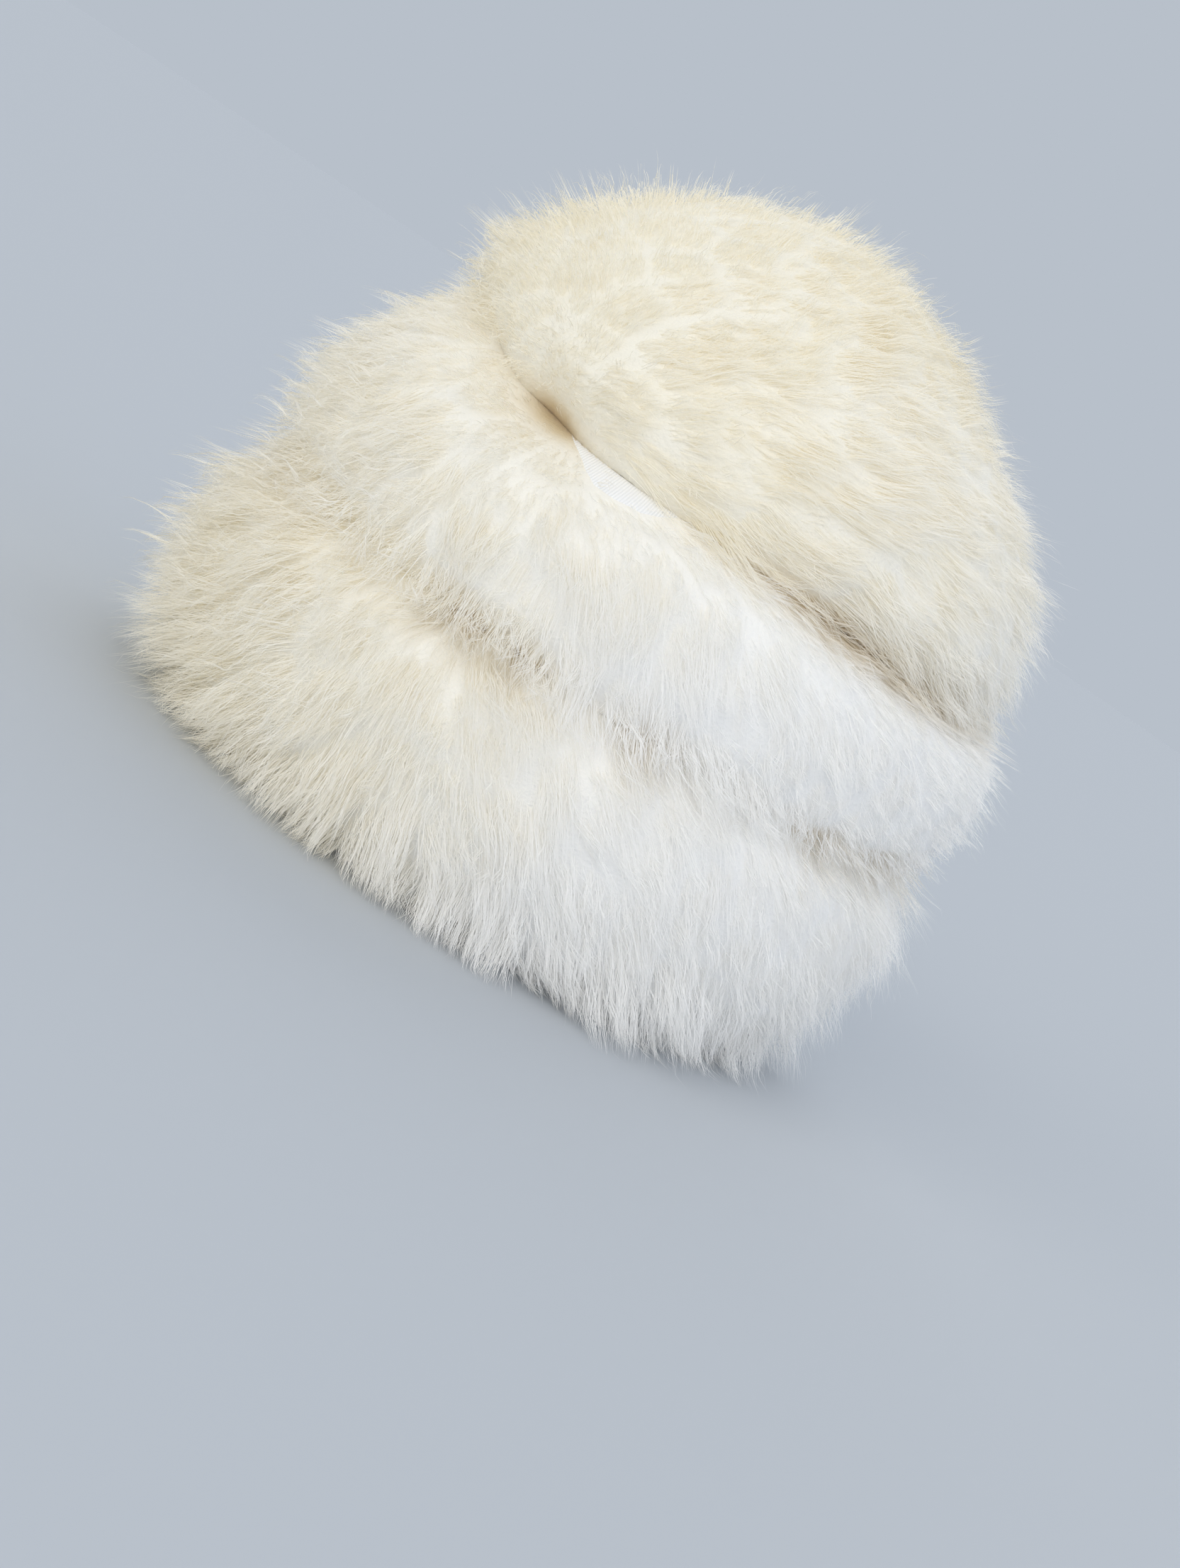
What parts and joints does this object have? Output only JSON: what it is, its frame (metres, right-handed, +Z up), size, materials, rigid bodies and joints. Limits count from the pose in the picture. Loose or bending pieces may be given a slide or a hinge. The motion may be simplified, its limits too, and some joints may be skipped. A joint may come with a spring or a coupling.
{
  "type": "long-haired sheepskin hat (turkmen telpek)",
  "caption": "Tall rounded hat of long white lambswool in three rolls, crown and bands, sewn from pelts round an open head hollow, with a woven tape in the upper seam.",
  "frame": {"origin": "middle of the head opening, on the surface that the hat rests on", "axes": "+Z up through the crown, -X to the front of the hat, -Y to the wearer's left"},
  "size_m": [0.3285, 0.2939, 0.2833],
  "materials": {
    "suede": "matt skin side of a tanned lambskin",
    "lambswool": "long white wavy lambswool, a little cream",
    "woven_tape": "white ribbed cotton tape"
  },
  "bodies": {
    "root": {"crown_pelt": "suede", "middle_pelt": "suede", "lower_pelt": "suede", "crown_fur": "lambswool", "middle_fur": "lambswool", "lower_fur": "lambswool", "seam_tape": "woven_tape"}
  },
  "joints": []
}
